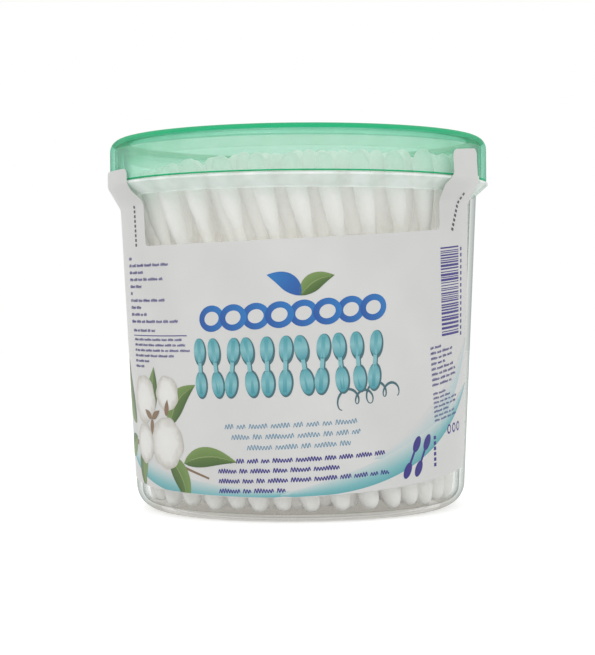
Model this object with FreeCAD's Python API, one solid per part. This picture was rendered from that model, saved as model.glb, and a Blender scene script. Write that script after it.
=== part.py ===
import FreeCAD, Part
import math
import os

# Cotton swab tub: a clear tapered tub, a lift-off lid, a film label with two
# seal tabs, and the swabs that stand inside.
# Millimetres, +Z up. The origin is the middle of the foot and -Y is the front.
# Angles are in degrees from the front, and they grow towards +X.

# Tub
base_radius = 36.4  # outside, where the slope of the wall meets the foot plane
wall_flare = 3.3  # how much wider the wall is where the collar starts
wall = 1.2
floor_thickness = 1.1
foot_recess = 0.4
foot_width = 2.6
base_corner_radius = 5.5
rounding_chords = 3
inner_chamfer = 2.0
collar_depth = 2.8
collar_lip = 0.5
collar_margin = 0.3  # how far the collar stands out past the lid
neck_height = 7.9  # over the collar
neck_room = 1.9  # from the top of an upright swab to the mouth of the neck
neck_wall = 1.3

# Lid
lid_wall = 1.1
lid_panel = 1.0
lid_corner_radius = 2.6
stack_rim_height = 0.9
stack_rim_width = 3.2
plug_wall = 0.9
plug_depth = 2.6
lid_clearance = 0.6  # between the neck and the skirt
plug_clearance = 0.4  # between the neck and the plug ring
lid_seat_gap = 0.3  # under the skirt, and from the neck up to the panel
channel_rise = 0.7  # how far the channel over the neck goes up past the panel

# Label: lengths along the wall from its own centre line, which stands crooked
label_film = 0.12
label_gap = 0.05
label_centre_angle = -2.0
label_lean = 2.4
label_left_edge = 56.0
label_right_edge = 48.8
window_half_width = 35.8
tab_inner = 38.0
tab_left_edge = 54.5
tab_right_edge = 48.0
label_bottom = 5.9
window_depth = 10.5  # from the collar down to the sill
shoulder_drop = 1.7  # from the top of the collar down to the shoulder of the tabs
tab_overlap = 3.2  # how far up the lid the tabs reach
label_corner_radius = 4.0
tab_corner_radius = 1.5
label_bridge = 2.4  # how far below the collar the film leaves the wall
film_spare = 15.0  # degrees of film past each end before it is cut

# Swabs: whole length, paper stick and wound cotton tips
swab_length = 76.2
stick_radius = 1.2
tip_radius = 2.1
tip_length = 15.0
tip_crown = 2.4
tip_end_radius = 1.25
ring_counts = (32, 29, 25, 20, 15, 10, 4)
ring_pitch = 4.7
swab_wall_gap = 0.7
swab_foot_inset = 1.1  # from the wall at the foot, past its corner
swab_floor_gap = 0.05
swab_sides = 4
swab_twist = 16.0  # degrees round the tub from the middle of a swab to its end
twist_swing = 0.4  # share by which the left side leans more and the right less
bunching = 0.15  # share of the spacing by which swabs stand closer or further
swabs_per_bunch = 6
swab_lift = 0.6

# Sizes that follow
floor_height = foot_recess + floor_thickness
neck_top = floor_height + swab_length + neck_room
body_height = neck_top - neck_height
collar_root_height = body_height - collar_depth
wall_top_radius = base_radius + wall_flare
wall_slope = wall_flare / collar_root_height
neck_inner_radius = wall_top_radius + wall_slope * (neck_top - collar_root_height) - wall
neck_radius = neck_inner_radius + neck_wall
skirt_inner_radius = neck_radius + lid_clearance
lid_radius = skirt_inner_radius + lid_wall
collar_radius = lid_radius + collar_margin
skirt_bottom = body_height + lid_seat_gap
panel_bottom = neck_top + lid_seat_gap
channel_top = panel_bottom + channel_rise
panel_top = panel_bottom + lid_panel
lid_top = panel_top + stack_rim_height
plug_radius = neck_inner_radius - plug_clearance
window_sill = collar_root_height - window_depth
label_shoulder = body_height - shoulder_drop
tab_top = skirt_bottom + tab_overlap
label_middle = (label_bottom + window_sill) / 2


def V(x, y, z):
    return FreeCAD.Vector(x, y, z)


def wall_radius(height):
    """Outside radius of the tapered wall."""
    return base_radius + wall_slope * height


def rounded_outline(corners):
    """Closed face in the XZ plane from (radius, height, corner radius).

    A rounding is a fan of short chords, so that the turned face stays light.
    """
    points = []
    for i, (radius, height, rounding) in enumerate(corners):
        here = V(radius, 0, height)
        if rounding == 0:
            points.append(here)
            continue
        following = corners[(i + 1) % len(corners)]
        before = V(corners[i - 1][0], 0, corners[i - 1][1]) - here
        after = V(following[0], 0, following[1]) - here
        before.normalize()
        after.normalize()
        half_angle = before.getAngle(after) / 2
        bisector = before + after
        bisector.normalize()
        centre = here + bisector * (rounding / math.sin(half_angle))
        spoke = here + before * (rounding / math.tan(half_angle)) - centre
        turn = math.degrees(math.pi - 2 * half_angle)
        if before.cross(after).y < 0:
            turn = -turn
        for k in range(rounding_chords + 1):
            step = FreeCAD.Rotation(V(0, -1, 0), turn * k / rounding_chords)
            points.append(centre + step.multVec(spoke))
    return Part.Face(Part.makePolygon(points + points[:1]))


def turned(corners, angle=360.0):
    """Solid of revolution about the upright axis, from the +X side round."""
    return rounded_outline(corners).revolve(V(0, 0, 0), V(0, 0, 1), angle)


def make_tub():
    """One moulding: foot ring, tapered wall, collar and the neck for the lid."""
    recess_radius = base_radius - base_corner_radius - foot_width
    inside_base_radius = wall_radius(floor_height) - wall
    return turned([
        (0, foot_recess, 0),
        (recess_radius, foot_recess, 0),
        (recess_radius + foot_recess, 0, 0),
        (base_radius, 0, base_corner_radius),
        (wall_top_radius, collar_root_height, 0),
        (collar_radius, body_height - collar_lip, 0),
        (collar_radius, body_height, 0),
        (neck_radius, body_height, 0),
        (neck_radius, neck_top, 0),
        (neck_inner_radius, neck_top, 0),
        (inside_base_radius + wall_slope * inner_chamfer, floor_height + inner_chamfer, 0),
        (inside_base_radius - inner_chamfer, floor_height, 0),
        (0, floor_height, 0),
    ])


def make_lid():
    """One moulding: skirt, stacking rim, sunk top panel and plug ring."""
    rim_inner_radius = lid_radius - stack_rim_width
    return turned([
        (0, panel_bottom, 0),
        (plug_radius - plug_wall, panel_bottom, 0),
        (plug_radius - plug_wall, panel_bottom - plug_depth, 0),
        (plug_radius, panel_bottom - plug_depth, 0),
        (plug_radius, channel_top, 0),
        (skirt_inner_radius, channel_top, 0),
        (skirt_inner_radius, skirt_bottom, 0),
        (lid_radius, skirt_bottom, 0),
        (lid_radius, lid_top, lid_corner_radius),
        (rim_inner_radius, lid_top, 0),
        (rim_inner_radius - stack_rim_height, panel_top, 0),
        (0, panel_top, 0),
    ])


def half_space(point, normal):
    """Large block whose near face passes through the point."""
    reach = 4 * (lid_radius + lid_top)
    block = Part.makeBox(reach, reach, reach, V(-reach / 2, -reach / 2, 0))
    block.Placement = FreeCAD.Placement(point, FreeCAD.Rotation(V(0, 0, 1), normal))
    return block


def upright_edge(distance):
    """Outward and sideways directions of an upright label line, and its lean."""
    radius = wall_radius(label_middle)
    angle = math.radians(label_centre_angle) + distance / radius
    outward = V(math.sin(angle), -math.cos(angle), 0)
    sideways = V(math.cos(angle), math.sin(angle), 0)
    return outward, sideways, math.radians(label_lean) + wall_slope * distance / radius


def label_upright(distance, side):
    """Half space past an upright line of the label, on the right (1) or left (-1)."""
    outward, sideways, lean = upright_edge(distance)
    normal = FreeCAD.Rotation(outward, math.degrees(lean)).multVec(sideways)
    return half_space(V(0, 0, label_middle), normal * side)


def label_level(height, side):
    """Half space above (1) or below (-1) a lengthwise edge of the label."""
    radius = wall_radius(height)
    rise = math.tan(math.radians(label_lean))
    normal = V(-rise, -wall_slope, 1)
    return half_space(V(0, -radius, height), normal * side)


def film_strip():
    """Film over wall, collar and skirt, wider than the label."""
    bridge_height = collar_root_height - label_bridge
    inner = [
        (wall_radius(0) + label_gap, 0),
        (wall_radius(bridge_height) + label_gap, bridge_height),
        (collar_radius + label_gap, body_height - collar_lip),
        (collar_radius + label_gap, lid_top),
    ]
    outer = [(radius + label_film, height) for radius, height in reversed(inner)]
    half_sweep = math.degrees(label_left_edge / base_radius) + film_spare
    film = turned([(radius, height, 0) for radius, height in inner + outer], 2 * half_sweep)
    film.rotate(V(0, 0, 0), V(0, 0, 1), label_centre_angle - half_sweep - 90)
    return film


def past_corner(distance, height, up, radius):
    """Half space past a corner of the label, clipped as deep as its rounding."""
    side = math.copysign(1, distance)
    outward, sideways, lean = upright_edge(distance)
    corner = sideways * (label_middle - height) * math.tan(lean)
    corner += outward * wall_radius(height)
    rise = math.tan(math.radians(label_lean)) * corner.x
    rise += wall_slope * (corner.y + wall_radius(height))
    corner += V(0, 0, height + rise)
    diagonal = sideways * side + V(0, 0, up)
    diagonal.normalize()
    return half_space(corner - diagonal * radius * (math.sqrt(2) - 1), diagonal)


def make_label():
    """U of film round the front, with a seal tab over each side of the lid."""
    film = film_strip()
    film = film.cut(label_level(label_bottom, -1))
    film = film.cut(label_level(tab_top, 1))
    film = film.cut(label_upright(label_right_edge, 1))
    film = film.cut(label_upright(-label_left_edge, -1))
    window = label_level(window_sill, 1)
    window = window.common(label_upright(-window_half_width, 1))
    window = window.common(label_upright(window_half_width, -1))
    film = film.cut(window)
    shoulder = label_level(label_shoulder, 1)
    inside_tabs = label_upright(-tab_inner, 1).common(label_upright(tab_inner, -1))
    film = film.cut(shoulder.common(inside_tabs))
    for edge, tab_edge in ((-label_left_edge, -tab_left_edge), (label_right_edge, tab_right_edge)):
        film = film.cut(shoulder.common(label_upright(tab_edge, math.copysign(1, edge))))
        film = film.cut(past_corner(edge, label_bottom, -1, label_corner_radius))
        film = film.cut(past_corner(tab_edge, tab_top, 1, tab_corner_radius))
    return film


def swab_sections(ring):
    """Heights and radii along a swab. One that stands hidden is a plain rod."""
    if ring > 0:
        return [(0, tip_radius), (swab_length, tip_radius)]
    return [
        (0, tip_end_radius),
        (tip_crown, tip_radius),
        (tip_length, stick_radius),
        (swab_length - tip_length, stick_radius),
        (swab_length - tip_crown, tip_radius),
        (swab_length, tip_end_radius),
    ]


def make_swab(ring):
    """Stick with a cotton tip at each end, standing on the origin, few-sided."""
    rings = []
    for height, radius in swab_sections(ring):
        ring = []
        for k in range(swab_sides):
            turn = 2 * math.pi * k / swab_sides
            ring.append(V(radius * math.cos(turn), radius * math.sin(turn), height))
        rings.append(ring)
    faces = [
        Part.Face(Part.makePolygon(rings[0][::-1] + rings[0][-1:])),
        Part.Face(Part.makePolygon(rings[-1] + rings[-1][:1])),
    ]
    for low, high in zip(rings, rings[1:]):
        for k in range(swab_sides):
            following = (k + 1) % swab_sides
            panel = [low[k], low[following], high[following], high[k], low[k]]
            faces.append(Part.Face(Part.makePolygon(panel)))
    return Part.Solid(Part.Shell(faces))


def swab_ends(ring, index):
    """Foot point and direction of one swab in a ring, counted from the outside."""
    count = ring_counts[ring]
    foot_circle = wall_radius(floor_height) - wall - tip_radius - swab_foot_inset
    top_circle = wall_radius(swab_length) - wall - tip_radius - swab_wall_gap
    foot_radius = foot_circle - ring * ring_pitch
    top_radius = foot_radius * top_circle / foot_circle
    turn = 2 * math.pi * (index + ring % 2 / 2) / count
    twist = math.radians(swab_twist) * (1 - twist_swing * math.sin(turn))
    spacing = 2 * math.pi / count
    wave = count // swabs_per_bunch * turn + ring
    shift = bunching / (ring + 1) * spacing
    foot_turn = turn + twist + shift * math.sin(wave)
    top_turn = turn - twist + shift * math.sin(wave + 2)
    foot = V(foot_radius * math.sin(foot_turn), -foot_radius * math.cos(foot_turn), 0)
    top = V(top_radius * math.sin(top_turn), -top_radius * math.cos(top_turn), 0)
    sideways = (top - foot).Length
    direction = top - foot + V(0, 0, math.sqrt(swab_length ** 2 - sideways ** 2))
    end_radius = swab_sections(ring)[0][1]
    lift = swab_floor_gap + end_radius * sideways / swab_length
    lift += swab_lift * (1 + math.sin(3 * wave)) / 2
    return foot + V(0, 0, floor_height + lift), direction


def place_swab(swab, ring, index):
    """Copy of a swab at its stand in the tub."""
    foot, direction = swab_ends(ring, index)
    copy = swab.copy()
    copy.Placement = FreeCAD.Placement(foot, FreeCAD.Rotation(V(0, 0, 1), direction))
    return copy


def make_parts():
    """Every node by name."""
    parts = {"tub": make_tub(), "lid": make_lid(), "label": make_label()}
    for ring, count in enumerate(ring_counts):
        swab = make_swab(ring)
        group = [place_swab(swab, ring, index) for index in range(count)]
        if ring > 0:
            parts[f"swabs_ring_{ring + 1}"] = Part.makeCompound(group)
            continue
        for index, shape in enumerate(group):
            parts[f"swab_{index + 1:02d}"] = shape
    return parts


os.makedirs("parts", exist_ok=True)
for name, shape in make_parts().items():
    shape.exportStep(f"parts/{name}.step")
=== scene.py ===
import bmesh
import bpy
import math
import random
from mathutils import Matrix, Vector, noise


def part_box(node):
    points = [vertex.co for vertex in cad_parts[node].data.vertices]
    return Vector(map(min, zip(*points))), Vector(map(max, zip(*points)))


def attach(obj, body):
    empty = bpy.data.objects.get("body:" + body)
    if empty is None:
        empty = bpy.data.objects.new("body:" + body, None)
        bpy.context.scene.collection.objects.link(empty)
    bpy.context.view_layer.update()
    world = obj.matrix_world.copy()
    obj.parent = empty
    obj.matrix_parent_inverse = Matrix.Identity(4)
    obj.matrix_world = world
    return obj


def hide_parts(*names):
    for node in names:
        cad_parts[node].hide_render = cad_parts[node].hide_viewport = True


# A tub of cotton swabs: clear tub, green lid, white film label with its print, and the swabs.
# +Z is up and -Y is the front. Sizes are in mm and turned into metres where a vertex is made.

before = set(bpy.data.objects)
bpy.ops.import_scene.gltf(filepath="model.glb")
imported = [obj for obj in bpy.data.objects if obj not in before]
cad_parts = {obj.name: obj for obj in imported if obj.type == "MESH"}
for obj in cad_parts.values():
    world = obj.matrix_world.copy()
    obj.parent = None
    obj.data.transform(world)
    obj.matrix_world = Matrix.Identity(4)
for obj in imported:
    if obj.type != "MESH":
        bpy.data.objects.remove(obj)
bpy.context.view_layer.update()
MM = 0.001


def in_mm(node):
    """Lowest and highest corner of a node at rest, in millimetres."""
    low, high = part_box(node)
    return [value / MM for value in low], [value / MM for value in high]


tub_low, tub_high = in_mm("tub")
lid_low, lid_high = in_mm("lid")

# Tub
base_radius = 36.4
wall_top_radius = 39.7
wall = 1.2
floor_top = 1.5
foot_recess = 0.4
recess_radius = 28.3
base_corner = 5.5
inner_corner = 3.0
body_height = 71.7
collar_depth = 2.8
collar_root = body_height - collar_depth
collar_lip = 0.5
neck_wall = 1.3
neck_top = tub_high[2]
collar_radius = (tub_high[0] - tub_low[0]) / 2
lid_radius = (lid_high[0] - lid_low[0]) / 2
skirt_bottom = lid_low[2]
lid_top = lid_high[2]
wall_slope = (wall_top_radius - base_radius) / collar_root
neck_inner = wall_top_radius + wall_slope * (neck_top - collar_root) - wall
neck_outer = neck_inner + neck_wall

# Lid
skirt_clearance = 0.6
plug_clearance = 0.4
seat_gap = 0.3
panel_thickness = 1.0
channel_rise = 0.7
lid_corner = 2.6
rim_width = 3.2
plug_wall = 0.9
plug_depth = 2.6
skirt_inner = neck_outer + skirt_clearance
panel_bottom = neck_top + seat_gap
panel_top = panel_bottom + panel_thickness
channel_top = panel_bottom + channel_rise
plug_outer = neck_inner - plug_clearance
plug_inner = plug_outer - plug_wall
plug_bottom = panel_bottom - plug_depth

# Label, along the film from its own middle
label_film = 0.12
label_gap = 0.05
label_angle = math.radians(-2.0)
label_lean = math.radians(2.4)
label_middle = 32.15
bottom_edge = (
    (-56.0, -24.2), (-38.0, -25.3), (-20.0, -26.0), (-4.0, -26.6), (14.0, -26.6), (32.0, -26.4),
    (48.8, -26.3),
)
window_sill = 26.25
label_left = -56.0
label_right = 48.8
window_half = 35.8
tab_inner = 38.0
tab_left = -54.5
tab_right = 48.0
tab_top = 43.6
shoulder = 37.7
bridge_drop = 2.4
bridge_height = collar_root - bridge_drop
ink_lift = 0.012
ink_step = 0.005
print_margin = 0.1

# Lathe and print resolution
lathe_segments = 192
arc_steps = 8
film_step = 1.0
bend_step = 0.35
ripple_points = 8
ripple_step = 0.055
ripple_weight = 0.66


def srgb(red, green, blue):
    """Linear colour from 8-bit display values."""
    values = []
    for value in (red, green, blue):
        share = value / 255
        values.append(share / 12.92 if share <= 0.04045 else ((share + 0.055) / 1.055) ** 2.4)
    return (*values, 1.0)


def wall_radius(height):
    return base_radius + wall_slope * height


# Materials

cloud_scale = 170.0
mirror_power = 5.0
mirror_gain = 4


def new_material(name):
    material = bpy.data.materials.new(name)
    material.use_nodes = True
    tree = material.node_tree
    tree.nodes.clear()
    output = tree.nodes.new("ShaderNodeOutputMaterial")
    shader = tree.nodes.new("ShaderNodeBsdfPrincipled")
    tree.links.new(shader.outputs["BSDF"], output.inputs["Surface"])
    return material, tree, shader, output


def add_noise(tree, scale, detail):
    """Noise in object space."""
    place = tree.nodes.new("ShaderNodeTexCoord")
    texture = tree.nodes.new("ShaderNodeTexNoise")
    texture.inputs["Scale"].default_value = scale
    texture.inputs["Detail"].default_value = detail
    tree.links.new(place.outputs["Object"], texture.inputs["Vector"])
    return texture


def add_bump(tree, shader, scale, strength, distance, detail):
    """Fine surface relief from noise."""
    texture = add_noise(tree, scale, detail)
    bump = tree.nodes.new("ShaderNodeBump")
    bump.inputs["Strength"].default_value = strength
    bump.inputs["Distance"].default_value = distance
    tree.links.new(texture.outputs["Fac"], bump.inputs["Height"])
    tree.links.new(bump.outputs["Normal"], shader.inputs["Normal"])
    return texture


def add_ramp(tree, level, stops):
    """Colour that follows a level from 0 to 1."""
    ramp = tree.nodes.new("ShaderNodeValToRGB")
    elements = ramp.color_ramp.elements
    elements[0].position, elements[0].color = stops[0]
    elements[1].position, elements[1].color = stops[-1]
    for position, colour in stops[1:-1]:
        elements.new(position).color = colour
    tree.links.new(level, ramp.inputs["Fac"])
    return ramp.outputs["Color"]


def add_math(tree, operation, *values):
    """Result of a sum on numbers and on outputs of other nodes."""
    node = tree.nodes.new("ShaderNodeMath")
    node.operation = operation
    for socket, value in zip(node.inputs, values):
        if isinstance(value, (int, float)):
            socket.default_value = value
        else:
            tree.links.new(value, socket)
    return node.outputs["Value"]


def add_mix(tree, share, first, second):
    """Mix of two shaders by a fixed share or by the output of a node."""
    mix = tree.nodes.new("ShaderNodeMixShader")
    if isinstance(share, float):
        mix.inputs["Fac"].default_value = share
    else:
        tree.links.new(share, mix.inputs["Fac"])
    tree.links.new(first, mix.inputs[1])
    tree.links.new(second, mix.inputs[2])
    return mix.outputs["Shader"]


def colour_drift(tree, shader, texture, low, high):
    """Base colour that wanders a little with the noise."""
    colour = add_ramp(tree, texture.outputs["Fac"], [(0.3, low), (0.7, high)])
    tree.links.new(colour, shader.inputs["Base Color"])


def wandering_share(tree, middle, reach):
    """Share that drifts to both sides of a middle value in soft clouds."""
    cloud = add_noise(tree, cloud_scale, 1.0)
    wander = tree.nodes.new("ShaderNodeMapRange")
    wander.inputs["From Min"].default_value = 0.35
    wander.inputs["From Max"].default_value = 0.65
    wander.inputs["To Min"].default_value = middle - reach
    wander.inputs["To Max"].default_value = middle + reach
    tree.links.new(cloud.outputs["Fac"], wander.inputs["Value"])
    return wander.outputs["Result"]


def thin_plastic(name, stops, roughness, gloss, haze, haze_colour, uneven=0.0):
    """Thin moulded wall: light goes straight through, deeper in colour where the wall turns away."""
    material, tree, shader, output = new_material(name)
    shader.inputs["Base Color"].default_value = haze_colour
    shader.inputs["Roughness"].default_value = 0.5
    turn_away = tree.nodes.new("ShaderNodeLayerWeight")
    turn_away.inputs["Blend"].default_value = 0.5
    facing = turn_away.outputs["Facing"]
    clear = tree.nodes.new("ShaderNodeBsdfTransparent")
    tree.links.new(add_ramp(tree, facing, stops), clear.inputs["Color"])
    cloudiness = wandering_share(tree, haze, uneven) if uneven else haze
    cloudy = add_mix(tree, cloudiness, clear.outputs["BSDF"], shader.outputs["BSDF"])
    shine = tree.nodes.new("ShaderNodeBsdfGlossy")
    shine.inputs["Roughness"].default_value = roughness
    add_bump(tree, shine, 90.0, 0.12, 0.0002, 1.0)
    grazing = add_math(tree, "POWER", facing, mirror_power)
    mirrored = add_math(tree, "MULTIPLY_ADD", grazing, gloss * mirror_gain, gloss)
    glossy = add_mix(tree, mirrored, cloudy, shine.outputs["BSDF"])
    tree.links.new(glossy, output.inputs["Surface"])
    return material


def cotton_material():
    material, tree, shader, _ = new_material("cotton")
    shader.inputs["Roughness"].default_value = 0.95
    shader.inputs["Sheen Weight"].default_value = 0.35
    shader.inputs["Sheen Roughness"].default_value = 0.6
    shader.inputs["Specular IOR Level"].default_value = 0.15
    texture = add_bump(tree, shader, 1400.0, 0.5, 0.0002, 2.0)
    colour_drift(tree, shader, texture, srgb(251, 250, 247), srgb(255, 254, 252))
    return material


def paper_material():
    material, tree, shader, _ = new_material("stick_paper")
    shader.inputs["Roughness"].default_value = 0.75
    texture = add_bump(tree, shader, 900.0, 0.2, 0.0001, 1.0)
    colour_drift(tree, shader, texture, srgb(247, 245, 239), srgb(252, 251, 247))
    return material


def film_material():
    material, tree, shader, _ = new_material("label_film")
    shader.inputs["Roughness"].default_value = 0.42
    shader.inputs["Specular IOR Level"].default_value = 0.4
    texture = add_bump(tree, shader, 60.0, 0.12, 0.0003, 2.0)
    colour_drift(tree, shader, texture, srgb(212, 212, 210), srgb(219, 219, 217))
    return material


def ink_material(name, colour):
    """Printed colour, the same all over."""
    material, tree, shader, _ = new_material(name)
    shader.inputs["Roughness"].default_value = 0.45
    shader.inputs["Base Color"].default_value = colour
    return material


def shaded_ink(name, stops, share="X", radial=False, speckle=0.0):
    """Printed colour that changes along, across or from the middle of each shape."""
    material, tree, shader, _ = new_material(name)
    shader.inputs["Roughness"].default_value = 0.45
    place = tree.nodes.new("ShaderNodeUVMap")
    place.uv_map = "shade"
    if radial:
        centred = tree.nodes.new("ShaderNodeVectorMath")
        centred.operation = "SUBTRACT"
        centred.inputs[1].default_value = (0.5, 0.5, 0.0)
        reach = tree.nodes.new("ShaderNodeVectorMath")
        reach.operation = "LENGTH"
        tree.links.new(place.outputs["UV"], centred.inputs[0])
        tree.links.new(centred.outputs["Vector"], reach.inputs[0])
        level = reach.outputs["Value"]
    else:
        split = tree.nodes.new("ShaderNodeSeparateXYZ")
        tree.links.new(place.outputs["UV"], split.inputs["Vector"])
        level = split.outputs[share]
    if speckle:
        grain = add_noise(tree, 700.0, 5.0)
        level = add_math(tree, "MULTIPLY_ADD", grain.outputs["Fac"], speckle, level)
    tree.links.new(add_ramp(tree, level, stops), shader.inputs["Base Color"])
    return material


tub_plastic = thin_plastic("clear_plastic", [
    (0.0, (0.995, 0.995, 0.99, 1.0)), (0.7, (0.97, 0.975, 0.97, 1.0)), (0.8, (0.76, 0.78, 0.77, 1.0)),
    (1.0, (0.5, 0.54, 0.52, 1.0))],
    0.05, 0.03, 0.01, (0.8, 0.82, 0.8, 1.0))
base_plastic = thin_plastic("clear_base", [
    (0.0, (0.985, 0.98, 0.97, 1.0)), (1.0, (0.86, 0.85, 0.82, 1.0))],
    0.1, 0.01, 0.26, (0.72, 0.7, 0.66, 1.0))
# Collar: its milky white haze is painted reflection, standing in for the light that the clear cone of
# the collar reflects and bends; its share wanders at random.
collar_painted_reflection = thin_plastic("clear_collar_painted_reflection", [
    (0.0, (0.97, 0.99, 0.98, 1.0)), (1.0, (0.7, 0.82, 0.76, 1.0))],
    0.1, 0.03, 0.58, (0.93, 1.0, 0.96, 1.0), 0.18)
# Collar lip: a whiter, more hazed band than the collar below it, a painted highlight line along the top
# edge of the collar.
lip_painted_highlight = thin_plastic("collar_lip", [
    (0.0, (0.97, 0.99, 0.98, 1.0)), (1.0, (0.8, 0.88, 0.84, 1.0))],
    0.1, 0.05, 0.7, (0.97, 1.0, 0.98, 1.0), 0.25)
lid_plastic = thin_plastic("green_plastic", [
    (0.0, (0.97, 0.99, 0.97, 1.0)), (0.6, (0.86, 0.97, 0.92, 1.0)), (0.8, (0.72, 0.91, 0.83, 1.0)),
    (1.0, (0.6, 0.88, 0.77, 1.0))],
    0.08, 0.02, 0.16, (0.66, 0.92, 0.78, 1.0), 0.04)
skirt_plastic = thin_plastic("green_skirt", [
    (0.0, (0.975, 0.993, 0.98, 1.0)), (0.6, (0.82, 0.98, 0.92, 1.0)), (0.74, (0.53, 0.88, 0.76, 1.0)),
    (1.0, (0.1, 0.46, 0.33, 1.0))],
    0.08, 0.015, 0.17, (0.74, 1.0, 0.87, 1.0), 0.05)
corner_plastic = thin_plastic("green_corner", [
    (0.0, (0.76, 0.93, 0.87, 1.0)), (1.0, (0.3, 0.7, 0.55, 1.0))],
    0.08, 0.02, 0.1, (0.45, 0.92, 0.7, 1.0), 0.03)
rim_plastic = thin_plastic("green_rim", [
    (0.0, (0.04, 0.8, 0.5, 1.0)), (1.0, (0.01, 0.68, 0.38, 1.0))],
    0.1, 0.004, 0.6, (0.001, 0.52, 0.23, 1.0))
cotton = cotton_material()
paper = paper_material()
film = film_material()
paper_white = srgb(214, 214, 212)
materials = {
    "navy": ink_material("ink_navy", srgb(52, 44, 128)),
    "ink": ink_material("ink_black", srgb(60, 60, 66)),
    "outline": ink_material("ink_outline", srgb(66, 104, 112)),
    "slate": ink_material("ink_slate", srgb(84, 136, 166)),
    "teal": shaded_ink("ink_teal", [
        (0.0, srgb(64, 146, 158)), (0.5, srgb(132, 188, 194)), (1.0, srgb(78, 156, 166))]),
    "blue": shaded_ink("ink_blue", [(0.0, srgb(34, 84, 158)), (1.0, srgb(40, 118, 186))]),
    "paper": ink_material("ink_paper", paper_white),
    "wash": shaded_ink("ink_wash", [(0.0, srgb(188, 207, 208)), (1.0, paper_white)], "Y"),
    "wave": shaded_ink("ink_wave", [
        (0.0, srgb(92, 166, 172)), (0.35, srgb(128, 184, 188)), (1.0, srgb(204, 212, 211))], "Y"),
    "haze": shaded_ink("ink_haze", [(0.0, srgb(176, 202, 205)), (1.0, paper_white)], "Y"),
    "leaf": shaded_ink("ink_leaf", [
        (0.0, srgb(68, 96, 46)), (0.46, srgb(88, 116, 58)), (0.5, srgb(146, 162, 108)),
        (0.54, srgb(104, 132, 70)), (1.0, srgb(120, 146, 84))], "Y"),
    "twig": ink_material("ink_twig", srgb(132, 108, 82)),
    "ball": shaded_ink("ink_ball", [
        (0.0, srgb(236, 236, 233)), (0.42, srgb(230, 229, 225)), (0.6, srgb(196, 193, 184))],
        radial=True, speckle=0.22),
}


# Mesh building


def add_piece(name, mesh, node_names, body, piece_materials):
    """Object for a finished mesh that rides on a body and stands for its nodes."""
    piece = bpy.data.objects.new(name, mesh)
    bpy.context.scene.collection.objects.link(piece)
    for material in piece_materials:
        mesh.materials.append(material)
    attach(piece, body)
    if node_names:
        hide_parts(*node_names)
    return piece


def rounded_profile(corners):
    """Outline points from (radius, height, rounding), with arcs and flat-keeping points."""
    points = []
    count = len(corners)
    for i, (radius, height, rounding) in enumerate(corners):
        here = Vector((radius, height))
        if rounding == 0:
            points.append(here)
            continue
        before = Vector(corners[i - 1][:2]) - here
        after = Vector(corners[(i + 1) % count][:2]) - here
        room = min(before.length, after.length)
        before.normalize()
        after.normalize()
        half_angle = before.angle(after) / 2
        setback = rounding / math.tan(half_angle)
        centre = here + (before + after).normalized() * (rounding / math.sin(half_angle))
        start = here + before * setback
        end = here + after * setback
        keep = min(0.12, 0.25 * (room - setback))
        steps = 3 + int(rounding * 3)
        points.append(start + before * keep)
        spoke_start = start - centre
        spoke_end = end - centre
        turn = spoke_start.angle_signed(spoke_end)
        for k in range(steps + 1):
            spoke = spoke_start.copy()
            spoke.rotate(Matrix.Rotation(-turn * k / steps, 2))
            points.append(centre + spoke)
        points.append(end + after * keep)
    return points


def skin_between(body, low, high, sides):
    """Faces from one ring of vertices to the next; a ring of one vertex is a tip."""
    faces = []
    for k in range(sides):
        following = (k + 1) % sides
        start = [low[0]] if len(low) == 1 else [low[k], low[following]]
        end = [high[0]] if len(high) == 1 else [high[following], high[k]]
        faces.append(body.faces.new(start + end))
    return faces


def lathe_mesh(name, corners):
    """Closed turned mesh; the first and last outline points lie on the axis."""
    mesh = bpy.data.meshes.new(name)
    body = bmesh.new()
    rings = []
    for point in rounded_profile(corners):
        if point.x < 1e-6:
            rings.append([body.verts.new((0, 0, point.y * MM))])
            continue
        radius = point.x * MM
        ring = []
        for k in range(lathe_segments):
            turn = 2 * math.pi * k / lathe_segments
            ring.append(body.verts.new((radius * math.cos(turn), radius * math.sin(turn), point.y * MM)))
        rings.append(ring)
    for low, high in zip(rings, rings[1:]):
        skin_between(body, low, high, lathe_segments)
    bmesh.ops.recalc_face_normals(body, faces=body.faces)
    for face in body.faces:
        face.smooth = True
    body.to_mesh(mesh)
    body.free()
    return mesh


def face_place(face):
    """Distance of a face from the axis, and its height, in mm."""
    return math.hypot(face.center.x, face.center.y) / MM, face.center.z / MM


def make_tub():
    inside_base = wall_radius(floor_top) - wall
    corners = [
        (0, foot_recess, 0),
        (recess_radius, foot_recess, 0.3),
        (recess_radius + foot_recess, 0, 0.3),
        (base_radius, 0, base_corner),
        (wall_top_radius, collar_root, 0.6),
        (collar_radius, body_height - collar_lip, 0.2),
        (collar_radius, body_height, 0.2),
        (neck_outer, body_height, 0.3),
        (neck_outer, neck_top, 0.4),
        (neck_inner, neck_top, 0.4),
        (inside_base, floor_top, inner_corner),
        (0, floor_top, 0),
    ]
    mesh = lathe_mesh("tub_shell", corners)
    collar_reflection_layer, lip_highlight_layer, floor_layer = 1, 2, 3
    collar_inside = wall_top_radius - wall / 2
    for face in mesh.polygons:
        radius, height = face_place(face)
        if radius > collar_inside and collar_root - 0.1 < height < body_height + 0.1:
            # collar faces take the haze that paints the cone's reflections, the lip on top the whiter
            # haze that paints a highlight line
            face.material_index = collar_reflection_layer if height < body_height - collar_lip else lip_highlight_layer
        if height < floor_top + 0.3 and abs(face.normal.z) > 0.75:
            face.material_index = floor_layer
    layers = [tub_plastic, collar_painted_reflection, lip_painted_highlight, base_plastic]
    add_piece("tub_shell", mesh, ["tub"], "tub", layers)


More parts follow.
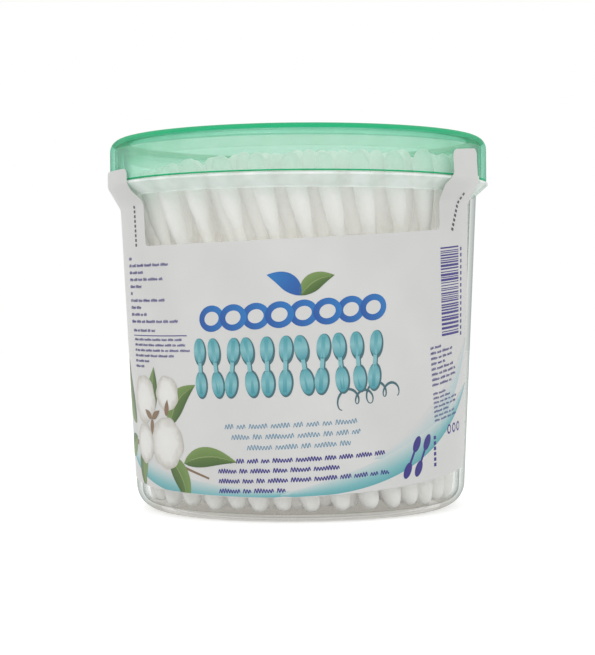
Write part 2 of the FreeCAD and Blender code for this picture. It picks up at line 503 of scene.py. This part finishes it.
def make_lid():
    rim_inner = lid_radius - rim_width
    rim_rise = lid_top - panel_top
    corners = [
        (0, panel_bottom, 0),
        (plug_inner, panel_bottom, 0.3),
        (plug_inner, plug_bottom, 0.3),
        (plug_outer, plug_bottom, 0.3),
        (plug_outer, channel_top, 0.4),
        (skirt_inner, channel_top, 1.0),
        (skirt_inner, skirt_bottom, 0.25),
        (lid_radius, skirt_bottom, 0.25),
        (lid_radius, lid_top, lid_corner),
        (rim_inner, lid_top, 0.4),
        (rim_inner - rim_rise, panel_top, 0.4),
        (0, panel_top, 0),
    ]
    mesh = lathe_mesh("lid_shell", corners)
    skirt_layer, rim_layer, corner_layer = 1, 2, 3
    rim_foot = rim_inner - rim_rise - 0.3
    corner_start = panel_top - lid_corner + 0.6
    for face in mesh.polygons:
        radius, height = face_place(face)
        if radius > skirt_inner - 1.0:
            face.material_index = corner_layer if height > corner_start else skirt_layer
        on_rim = height > panel_top - 0.05 and radius > rim_foot
        if on_rim or height < skirt_bottom + 0.2:
            face.material_index = rim_layer
    layers = [lid_plastic, skirt_plastic, rim_plastic, corner_plastic]
    add_piece("lid_shell", mesh, ["lid"], "lid", layers)


# Label film and print


cone_slant = math.hypot(1, wall_slope)
cone_sine = wall_slope / cone_slant
apex_height = -base_radius / wall_slope
film_radius = collar_radius + label_gap
film_path = [
    Vector((wall_radius(bridge_height) + label_gap, bridge_height)),
    Vector((film_radius + 0.12, body_height - collar_lip)),
    Vector((film_radius + 0.05, lid_top)),
]


def along_path(distance):
    """Radius and height on the film past the point where it leaves the wall."""
    first = (film_path[1] - film_path[0]).length
    if distance < 0:
        height = bridge_height + distance / cone_slant
        return Vector((wall_radius(height) + label_gap, height))
    if distance < first:
        return film_path[0].lerp(film_path[1], distance / first)
    return film_path[1].lerp(film_path[2], (distance - first) / (film_path[2] - film_path[1]).length)


def film_place(u, w):
    """Point on the back of the film at label coordinates in mm."""
    reach = (label_middle - apex_height) * cone_slant
    x = u * math.cos(label_lean) - w * math.sin(label_lean)
    y = reach + u * math.sin(label_lean) + w * math.cos(label_lean)
    distance = math.hypot(x, y) - (bridge_height - apex_height) * cone_slant
    if distance < -1:
        spot = along_path(distance)
    else:
        # an average of nearby points rounds the bends of the path
        spot = sum((along_path(distance + k * 0.2) for k in range(-3, 4)), Vector((0, 0))) / 7
    turn = label_angle + math.atan2(x, y) / cone_sine
    return Vector((spot.x * math.sin(turn), -spot.x * math.cos(turn), spot.y))


def film_point(u, w, lift):
    """Point in metres at a height above the back of the film."""
    here = film_place(u, w)
    right = film_place(u + 0.05, w) - here
    up = film_place(u, w + 0.05) - here
    return (here + right.cross(up).normalized() * lift) * MM


def soften(corners):
    """Flat outline with its corners rounded, from (u, w, rounding)."""
    points = []
    for i, (u, w, rounding) in enumerate(corners):
        here = Vector((u, w))
        if rounding == 0:
            points.append(here)
            continue
        before = (Vector(corners[i - 1][:2]) - here).normalized()
        after = (Vector(corners[(i + 1) % len(corners)][:2]) - here).normalized()
        half_angle = before.angle(after) / 2
        centre = here + (before + after).normalized() * (rounding / math.sin(half_angle))
        spoke_start = here + before * (rounding / math.tan(half_angle)) - centre
        spoke_end = here + after * (rounding / math.tan(half_angle)) - centre
        turn = spoke_start.angle_signed(spoke_end)
        for k in range(arc_steps + 1):
            spoke = spoke_start.copy()
            spoke.rotate(Matrix.Rotation(-turn * k / arc_steps, 2))
            points.append(centre + spoke)
    return points


def cut_across(flat, low, high, step, axis):
    """Cut a flat mesh along every multiple of a step, so that it can bend."""
    cuts = int(math.ceil(low / step))
    while cuts * step < high:
        place = [0, 0, 0]
        place[axis] = cuts * step
        normal = [0, 0, 0]
        normal[axis] = 1
        geometry = flat.verts[:] + flat.edges[:] + flat.faces[:]
        bmesh.ops.bisect_plane(flat, geom=geometry, dist=1e-5, plane_co=place, plane_no=normal)
        cuts += 1


def make_label():
    low_corners = [(u, w, 0) for u, w in bottom_edge]
    low_corners[0] = (*bottom_edge[0], 2.0)
    low_corners[-1] = (*bottom_edge[-1], 4.0)
    outline = soften(low_corners + [
        (label_right, shoulder, 0.5),
        (tab_right, shoulder, 0.3),
        (tab_right, tab_top, 1.5),
        (tab_inner, tab_top, 1.5),
        (tab_inner, shoulder + 1.0, 0.8),
        (window_half, shoulder - 1.5, 0.8),
        (window_half, window_sill, 1.0),
        (-window_half, window_sill, 1.0),
        (-window_half, shoulder - 1.5, 0.8),
        (-tab_inner, shoulder + 1.0, 0.8),
        (-tab_inner, tab_top, 1.5),
        (tab_left, tab_top, 1.5),
        (tab_left, shoulder, 0.3),
        (label_left, shoulder, 0.5),
    ])
    flat = bmesh.new()
    flat.faces.new([flat.verts.new((point.x, point.y, 0)) for point in outline])
    cut_across(flat, label_left, label_right, film_step, 0)
    cut_across(flat, bottom_edge[3][1], shoulder - 9, film_step * 4, 1)
    cut_across(flat, shoulder - 9, tab_top, bend_step, 1)
    body = bmesh.new()
    front = {vert: body.verts.new(film_point(vert.co.x, vert.co.y, label_film)) for vert in flat.verts}
    back = {vert: body.verts.new(film_point(vert.co.x, vert.co.y, 0)) for vert in flat.verts}
    for face in flat.faces:
        body.faces.new([front[vert] for vert in face.verts])
        body.faces.new([back[vert] for vert in reversed(face.verts)])
    for edge in flat.edges:
        if len(edge.link_faces) == 1:
            one, two = edge.verts
            body.faces.new([front[one], front[two], back[two], back[one]])
    bmesh.ops.recalc_face_normals(body, faces=body.faces)
    for face in body.faces:
        face.smooth = True
    mesh = bpy.data.meshes.new("label_film")
    body.to_mesh(mesh)
    body.free()
    flat.free()
    mesh.set_sharp_from_angle(angle=math.radians(40))
    add_piece("label_film", mesh, ["label"], "tub", [film])


prints = {}


def stamp(colour, faces, layer):
    """Note a printed shape: flat faces of (u, w, shade along, shade across) corners."""
    lift = label_film + ink_lift + ink_step * layer
    prints.setdefault(colour, []).extend((face, lift) for face in faces)


def trim_to_film(flat):
    """Cut printed shapes off where they would run past an edge of the film."""
    edges = list(zip(bottom_edge, bottom_edge[1:]))
    edges.append((bottom_edge[-1], (label_right, tab_top)))
    edges.append(((label_left, tab_top), bottom_edge[0]))
    for start, end in edges:
        along = Vector((end[0] - start[0], end[1] - start[1], 0)).normalized()
        outward = Vector((along.y, -along.x, 0))
        place = Vector((*start, 0)) - outward * print_margin
        geometry = flat.verts[:] + flat.edges[:] + flat.faces[:]
        bmesh.ops.bisect_plane(
            flat, geom=geometry, dist=1e-5, plane_co=place, plane_no=outward, clear_outer=True)


def make_prints():
    for colour, faces in prints.items():
        flat = bmesh.new()
        shade = flat.loops.layers.uv.new("shade")
        for corners, lift in faces:
            face = flat.faces.new([flat.verts.new((u, w, lift)) for u, w, _, _ in corners])
            for loop, corner in zip(face.loops, corners):
                loop[shade].uv = corner[2:]
        bmesh.ops.triangulate(flat, faces=[face for face in flat.faces if len(face.verts) > 4])
        trim_to_film(flat)
        cut_across(flat, label_left, label_right, film_step, 0)
        for face in flat.faces:
            face.smooth = True
        for vert in flat.verts:
            vert.co = film_point(vert.co.x, vert.co.y, vert.co.z)
        mesh = bpy.data.meshes.new("print_" + colour)
        flat.to_mesh(mesh)
        flat.free()
        add_piece("print_" + colour, mesh, [], "tub", [materials[colour]])


def turned_shape(points, u, w, angle):
    """Points moved to a place on the label and turned by degrees."""
    cosine = math.cos(math.radians(angle))
    sine = math.sin(math.radians(angle))
    return [(u + x * cosine - y * sine, w + x * sine + y * cosine) for x, y in points]


def shaded(points, u, w, angle, length, width):
    """One face whose shade coordinates run over a length and a width, 0 to 1."""
    placed = turned_shape(points, u, w, angle)
    return [[(*place, x / length + 0.5, y / width + 0.5) for place, (x, y) in zip(placed, points)]]


def oval(u, w, length, width, angle=0.0, steps=28):
    points = []
    for k in range(steps):
        turn = 2 * math.pi * k / steps
        points.append((length / 2 * math.cos(turn), width / 2 * math.sin(turn)))
    return shaded(points, u, w, angle, length, width)


def bar(u, w, length, height, angle=0.0, rounding=0.0):
    corners = [
        (-length / 2, -height / 2, rounding),
        (length / 2, -height / 2, rounding),
        (length / 2, height / 2, rounding),
        (-length / 2, height / 2, rounding),
    ]
    return shaded([tuple(point) for point in soften(corners)], u, w, angle, length, height)


def ribbon(course, widths, lean=0.0):
    """Band along a list of points, with a width at each and a share of it on one side."""
    rows = []
    for i, (x, y) in enumerate(course):
        before = course[max(i - 1, 0)]
        after = course[min(i + 1, len(course) - 1)]
        along = Vector((after[0] - before[0], after[1] - before[1])).normalized()
        side = Vector((-along.y, along.x)) * widths[i]
        share = i / (len(course) - 1)
        rows.append((
            (x + side.x * (0.5 + lean), y + side.y * (0.5 + lean), share, 1.0),
            (x - side.x * (0.5 - lean), y - side.y * (0.5 - lean), share, 0.0),
        ))
    return [[low[0], low[1], high[1], high[0]] for low, high in zip(rows, rows[1:])]


def bend_course(start, pull, end, steps=20):
    """Points on a simple curve that a middle point pulls."""
    points = []
    for k in range(steps + 1):
        t = k / steps
        points.append((
            (1 - t) ** 2 * start[0] + 2 * t * (1 - t) * pull[0] + t * t * end[0],
            (1 - t) ** 2 * start[1] + 2 * t * (1 - t) * pull[1] + t * t * end[1],
        ))
    return points


def leaf(u, w, length, width, angle, bend=0.0):
    """Leaf with a pointed tip along a bent midrib, its stalk end at the given place."""
    course = []
    widths = []
    for k in range(15):
        share = k / 14
        course.append((length * share, bend * length * math.sin(math.pi * share) / 2))
        widths.append(width * max(math.sin(math.pi * share ** 0.8), 0.02) ** 0.9)
    return ribbon(turned_shape(course, u, w, angle), widths)


def text_line(colour, u, w, length, height, dice, stroke=0.2, angle=0.0):
    """Even ripples in groups, where small print would be."""
    place = 0.0
    width = height * stroke * ripple_weight
    while place < length - height:
        course = []
        for k in range(ripple_points * dice.randint(3, 9)):
            across = place + height * ripple_step * k
            if across > length:
                break
            rise = 0.3 + 0.05 * math.sin(1.7 * place + 0.9 * (k // ripple_points))
            turn = 2 * math.pi * k / ripple_points
            course.append((across, height * (rise - rise * math.cos(turn))))
        if len(course) > 2:
            stamp(colour, ribbon(turned_shape(course, u, w, angle), [width] * len(course)), 4)
        place = course[-1][0] + height * 0.5


def swab_sign(colour, u, w, length, thick, angle, layer=4):
    """Picture of a swab: a thin stick with a drop at both ends."""
    stamp(colour, bar(u, w, length * 0.9, thick * 0.3, angle), layer)
    for side in (-1, 1):
        offset = side * (length / 2 - thick * 0.95)
        place = turned_shape([(offset, 0)], u, w, angle)[0]
        stamp(colour, oval(place[0], place[1], thick * 1.9, thick, angle), layer)


def cotton_ball(u, w, size, dice, layer):
    """Round ball of cotton wool with an uneven edge."""
    points = []
    phase = dice.uniform(0, 6)
    for k in range(40):
        turn = 2 * math.pi * k / 40
        unevenness = 0.03 * math.sin(5 * turn + phase) + 0.02 * math.sin(9 * turn + 2 * phase)
        reach = size / 2 * (1 + unevenness)
        points.append((reach * math.cos(turn), reach * math.sin(turn)))
    stamp("ball", shaded(points, u, w, dice.uniform(0, 360), size, size), layer)


def swelling(foot, swell, power=1.0):
    """Widths for a band that is broadest half way."""
    return [foot + swell * math.sin(math.pi * k / 20) ** power for k in range(21)]


def draw_waves():
    """Soft coloured bands along the foot of the label."""
    course = bend_course((-56, -13.0), (-34, -29.0), (-6, -26.6))
    stamp("wash", ribbon(course, [7.0 - 0.3 * k for k in range(21)], 0.35), 0)
    course = bend_course((-55.5, -16.0), (-34, -28.4), (2, -25.6))
    stamp("wave", ribbon(course, swelling(0.3, 3.6), 0.2), 1)
    course = bend_course((-4, -26.2), (26, -27.0), (48.0, -8.0))
    stamp("wave", ribbon(course, swelling(0.3, 4.6, 0.8), 0.3), 2)
    course = bend_course((16, -20.0), (36, -18.0), (48.0, 2.0))
    stamp("haze", ribbon(course, swelling(0.3, 5.0), 0.2), 1)


def draw_bouquet(dice):
    """Twig of plain leaves with cotton balls on it."""
    twig = bend_course((-50.0, -16.0), (-40, -15.5), (-19.5, -22.5))
    stamp("twig", ribbon(twig, [1.3 - 0.045 * k for k in range(21)]), 5)
    for u, w, length, width, angle, bend in (
        (-46, -12, 15, 6.0, 112, 0.25), (-41, -11, 13, 5.5, 62, -0.2), (-46, -15, 10, 5.0, 196, 0.2),
        (-40, -16, 10, 4.8, 262, -0.3), (-31, -18, 12, 4.6, 298, 0.25), (-26, -19.5, 13, 4.2, 2, 0.2),
        (-30, -12, 12, 4.6, 48, 0.25),
    ):
        stamp("leaf", leaf(u, w, length, width, angle, bend), 6)
    for u, w, angle in ((-36.5, -10.5, 30), (-36.5, -10.5, 150), (-36.5, -10.5, 265), (-31.0, -9.8, 80)):
        stamp("twig", leaf(u, w, 3.6, 1.5, angle), 11)
    balls = ((-40.0, -6.5, 10.5), (-31.5, -15.5, 11.0), (-30.5, -5.0, 7.5), (-40.5, -16.0, 8.5))
    for k, (u, w, size) in enumerate(balls):
        cotton_ball(u, w, size, dice, 7 + k)


def draw_chain():
    """Chain of ovals with a pair of leaves over it."""
    slant = 18
    for k in range(8):
        u = -17.0 + 4.9 * k
        w = 10.6 + 0.1 * k
        stamp("blue", oval(u, w, 6.0, 5.4, slant), 4 + k % 2)
        stamp("paper", oval(u, w, 3.4, 2.8, slant), 6)
    stamp("leaf", leaf(2.2, 14.6, 8.0, 3.6, 28, 0.25), 7)
    stamp("blue", leaf(2.2, 14.6, 8.0, 3.6, 146, -0.25), 7)


def draw_swab_row():
    """Row of upright swabs, each over its own dark edge."""
    pitch = 3.75
    for k in range(11):
        angle = 90 + 7 * math.sin(2.4 * k)
        swab_sign("outline", -20.2 + pitch * k, 0.3, 12.6, 3.1, angle, 4)
        swab_sign("teal", -20.4 + pitch * k, 0.5, 12.2, 2.7, angle, 5)


def draw_flourish():
    """Four loops of a thin line that swells and thins."""
    loop_points = 24
    steps = 4 * loop_points
    course = []
    widths = []
    for k in range(steps + 1):
        turn = 2 * math.pi * k / loop_points
        size = 1.0 + 0.35 * math.sin(turn / 2 + 0.6)
        u = 9.5 + 12.5 * k / steps - 1.2 * size * math.sin(turn)
        w = -7.4 + 0.02 * k - 1.6 * size * math.cos(turn)
        course.append((u, w))
        widths.append(0.2 + 0.35 * math.sin(math.pi * k / loop_points) ** 2)
    stamp("outline", ribbon(course, widths), 4)


def draw_lines(dice, colour, u, w, pitch, height, lengths, stroke=0.2, drift=0.0, angle=0.0):
    """Block of ripple lines, each a pitch under the one before."""
    for k, length in enumerate(lengths):
        text_line(colour, u + drift * k, w - pitch * k, length, height, dice, stroke, angle)


def draw_bar_pattern(dice):
    """Bars of uneven thickness, turned on their side, with a row of dashes."""
    place = 3.6
    while place < 22.6:
        thick = dice.choice((0.2, 0.32, 0.5))
        stamp("navy", bar(39.6, place + thick / 2, 7.4, thick), 4)
        place += thick + dice.choice((0.18, 0.26, 0.4))
    for k in range(15):
        stamp("navy", bar(44.6, 3.4 + 1.3 * k, 0.7, 0.75), 4)


def draw_label():
    """The whole print: generic fields, lines and motifs."""
    dice = random.Random(7)
    draw_waves()
    draw_bouquet(dice)
    draw_chain()
    draw_swab_row()
    draw_flourish()
    for k, (u, length) in enumerate(((-15.2, 29.0), (-13.8, 27.0), (-10.5, 21.5))):
        text_line("slate", u, -12.2 - 2.2 * k, length, 1.5, dice, 0.15)
    draw_lines(dice, "navy", -17.2, -19.3, 2.05, 1.35, (36.0, 27.0, 36.5, 15.0), 0.24)
    swab_sign("navy", 25.5, -20.8, 9.5, 1.9, 62)
    swab_sign("navy", 28.6, -20.8, 9.5, 1.9, 62)
    # small print at both sides
    left_lines = (2.0, 17.5, 8.0, 15.5, 7.0, 1.5, 16.0, 7.5, 9.0, 20.0)
    draw_lines(dice, "navy", -45.5, 23.4, 1.5, 0.95, left_lines)
    text_line("navy", -44.5, 8.0, 11.0, 0.9, dice)
    stamp("navy", bar(-34.0, 7.2, 21.0, 0.2), 4)
    draw_lines(dice, "navy", -44.0, 6.1, 1.15, 0.8, (19.0, 20.0, 21.5, 16.5, 8.5, 5.0))
    right_lines = (4.0, 9.0, 8.0, 5.0, 8.5, 9.5, 9.5, 7.5)
    draw_lines(dice, "navy", 31.8, 1.1, 1.12, 0.85, right_lines, 0.2, 0.05, 4.0)
    right_lines = (5.0, 6.5, 9.5, 9.0, 6.5, 8.5, 10.0)
    draw_lines(dice, "navy", 32.4, -8.6, 0.95, 0.75, right_lines, 0.2, 0.05, 4.0)
    draw_bar_pattern(dice)
    for k in range(3):
        stamp("navy", oval(38.4 + 2.3 * k, -16.6, 1.7, 2.1), 4)
        stamp("paper", oval(38.4 + 2.3 * k, -16.6, 1.0, 1.3), 5)
    for k in range(6):
        stamp("navy", bar(32.6, -17.6 - 1.15 * k, 0.8, 0.75), 4)
    # seal marks up both strips
    for k in range(9):
        stamp("ink", bar(-40.2, 26.6 + 1.02 * k, 0.85, 0.62), 4)
        stamp("ink", bar(40.6 + 0.42 * k, 26.0 + 0.95 * k, 0.85, 0.6, -24), 4)


# Swabs


def rods(node):
    """Foot and top of every swab in a CAD node, in mm, always in the same turn round the axis."""
    body = bmesh.new()
    body.from_mesh(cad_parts[node].data)
    bmesh.ops.remove_doubles(body, verts=body.verts, dist=1e-6)
    left = set(body.verts)
    found = []
    while left:
        island = []
        edge_of_island = [left.pop()]
        while edge_of_island:
            vert = edge_of_island.pop()
            island.append(vert.co / MM)
            for edge in vert.link_edges:
                other = edge.other_vert(vert)
                if other in left:
                    left.remove(other)
                    edge_of_island.append(other)
        island.sort(key=lambda place: (place.z, place.x, place.y))
        foot = sum(island[:4], Vector()) / 4
        top = sum(island[-4:], Vector()) / 4
        found.append((foot, top))
    body.free()
    found.sort(key=lambda rod: math.atan2(rod[0].y, rod[0].x))
    return found


stick_radius = 1.15
stick_sides = 14
stick_start = 8.0  # inside the tips
tip_wobble = 0.07
tip_profile = (
    (0.0, 0.0), (0.1, 0.62), (0.35, 1.08), (0.8, 1.5), (1.5, 1.84), (2.6, 2.08), (4.2, 2.17),
    (6.2, 2.18), (8.6, 2.14), (10.6, 2.02), (12.5, 1.83), (14.1, 1.6), (15.5, 1.37), (16.6, 1.18),
)
tip_sides = 20


def add_turned(body, foot, turn, stations, sides, material_index, wobble):
    """Turned skin along a rod; a station of no radius closes it."""
    rings = []
    for height, radius in stations:
        if radius < 1e-4:
            rings.append([body.verts.new((foot + turn @ Vector((0, 0, height))) * MM)])
            continue
        ring = []
        for k in range(sides):
            angle = 2 * math.pi * k / sides
            spot = foot + turn @ Vector((math.cos(angle), math.sin(angle), height))
            unevenness = wobble * noise.noise(spot * 0.45) + 0.4 * wobble * noise.noise(spot * 1.7)
            grown = radius * (1 + unevenness)
            side = turn @ Vector((grown * math.cos(angle), grown * math.sin(angle), height))
            ring.append(body.verts.new((foot + side) * MM))
        rings.append(ring)
    for low, high in zip(rings, rings[1:]):
        for face in skin_between(body, low, high, sides):
            face.smooth = True
            face.material_index = material_index


def add_swab(body, foot, top, dice):
    """One swab: paper stick and two wound tips that differ a little."""
    along = top - foot
    length = along.length
    spin = Matrix.Rotation(dice.uniform(0, 6.28), 3, "Z")
    turn = along.to_track_quat("Z", "Y").to_matrix() @ spin
    stick = [(stick_start, stick_radius), (length - stick_start, stick_radius)]
    add_turned(body, foot, turn, stick, stick_sides, 1, 0.0)
    for end in (0, 1):
        stretch = dice.uniform(0.92, 1.1)
        swell = dice.uniform(0.94, 1.0)
        stations = [(height * stretch, radius * swell) for height, radius in tip_profile]
        if end:
            stations = [(length - height, radius) for height, radius in reversed(stations)]
        add_turned(body, foot, turn, stations, tip_sides, 0, tip_wobble)


def make_swabs():
    dice = random.Random(11)
    for node in sorted(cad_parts):
        if not node.startswith("swab"):
            continue
        body = bmesh.new()
        for foot, top in rods(node):
            add_swab(body, foot, top, dice)
        mesh = bpy.data.meshes.new("cotton_" + node)
        bmesh.ops.recalc_face_normals(body, faces=body.faces)
        body.to_mesh(mesh)
        body.free()
        add_piece("cotton_" + node, mesh, [node], "tub", [cotton, paper])


# Surroundings

floor_half_width = 1.5  # in metres, as all lengths from here on
floor_glow = 0.47
world_light = 0.8
shadow_reach = 0.004


def backdrop_rays(tree):
    """1 where a ray comes straight from the camera, or by a reflection or clear plastic."""
    path = tree.nodes.new("ShaderNodeLightPath")
    total = path.outputs["Is Camera Ray"]
    for name in ("Is Glossy Ray", "Is Transmission Ray"):
        total = add_math(tree, "MAXIMUM", total, path.outputs[name])
    return total


def make_stage():
    """Pale floor that runs far back and keeps the shadow."""
    mesh = bpy.data.meshes.new("floor")
    reach = floor_half_width
    corners = [(-reach, -reach, 0), (reach, -reach, 0), (reach, reach, 0), (-reach, reach, 0)]
    mesh.from_pydata(corners, [], [(0, 1, 2, 3)])
    floor = bpy.data.objects.new("floor", mesh)
    bpy.context.scene.collection.objects.link(floor)
    material, tree, shader, output = new_material("floor")
    shader.inputs["Base Color"].default_value = (0.8, 0.8, 0.8, 1.0)
    shader.inputs["Roughness"].default_value = 0.8
    shader.inputs["Specular IOR Level"].default_value = 0.0
    glow = tree.nodes.new("ShaderNodeEmission")
    tree.links.new(add_math(tree, "MULTIPLY", backdrop_rays(tree), floor_glow), glow.inputs["Strength"])
    add = tree.nodes.new("ShaderNodeAddShader")
    tree.links.new(shader.outputs["BSDF"], add.inputs[0])
    tree.links.new(glow.outputs["Emission"], add.inputs[1])
    tree.links.new(add.outputs["Shader"], output.inputs["Surface"])
    mesh.materials.append(material)


def add_background(tree, strength):
    """White surroundings of one strength."""
    background = tree.nodes.new("ShaderNodeBackground")
    background.inputs["Color"].default_value = (1.0, 1.0, 1.0, 1.0)
    background.inputs["Strength"].default_value = strength
    return background.outputs["Background"]


def make_world():
    """Even white surroundings, pure white where the camera sees them."""
    world = bpy.data.worlds.new("studio")
    bpy.context.scene.world = world
    world.light_settings.distance = shadow_reach
    world.use_nodes = True
    tree = world.node_tree
    tree.nodes.clear()
    output = tree.nodes.new("ShaderNodeOutputWorld")
    lighting = add_background(tree, world_light)
    seen = add_background(tree, 1.0)
    tree.links.new(add_mix(tree, backdrop_rays(tree), lighting, seen), output.inputs["Surface"])


def add_lamp(name, place, aim, size, watts, mirrored=True):
    data = bpy.data.lights.new(name, "AREA")
    data.size = size
    data.energy = watts
    lamp = bpy.data.objects.new(name, data)
    bpy.context.scene.collection.objects.link(lamp)
    lamp.location = place
    lamp.rotation_euler = (Vector(aim) - Vector(place)).to_track_quat("-Z", "Y").to_euler()
    lamp.visible_glossy = mirrored


def make_camera():
    """Camera in front, level and a little turned in its own plane."""
    place = (-0.00045, -0.3967, 0.04352)
    focal_pixels = 1763.9
    frame_pixels = 655
    pitch = 0.00902
    roll = -0.00853
    data = bpy.data.cameras.new("camera")
    data.lens = focal_pixels / frame_pixels * data.sensor_width
    camera = bpy.data.objects.new("camera", data)
    bpy.context.scene.collection.objects.link(camera)
    bpy.context.scene.camera = camera
    turn = Matrix.Rotation(math.pi / 2 - pitch, 4, "X") @ Matrix.Rotation(roll, 4, "Z")
    camera.matrix_world = Matrix.Translation(place) @ turn


scene = bpy.context.scene
scene.view_settings.view_transform = "Standard"
scene.cycles.use_fast_gi = True
scene.cycles.fast_gi_method = "REPLACE"
scene.cycles.ao_bounces_render = 3
scene.cycles.transparent_max_bounces = 40
make_tub()
make_lid()
make_label()
draw_label()
make_prints()
make_swabs()
make_stage()
make_world()
add_lamp("key", (-0.5, -0.7, 0.7), (0, 0, 0.04), 0.6, 1.36)
add_lamp("fill", (0.7, -0.5, 0.4), (0, 0, 0.04), 0.5, 0.6)
add_lamp("glint", (-0.25, -0.8, 0.45), (0, 0, 0.06), 0.06, 0.12)
add_lamp("low", (0.05, -0.7, 0.04), (0, 0, 0.0), 0.12, 0.34, False)
make_camera()
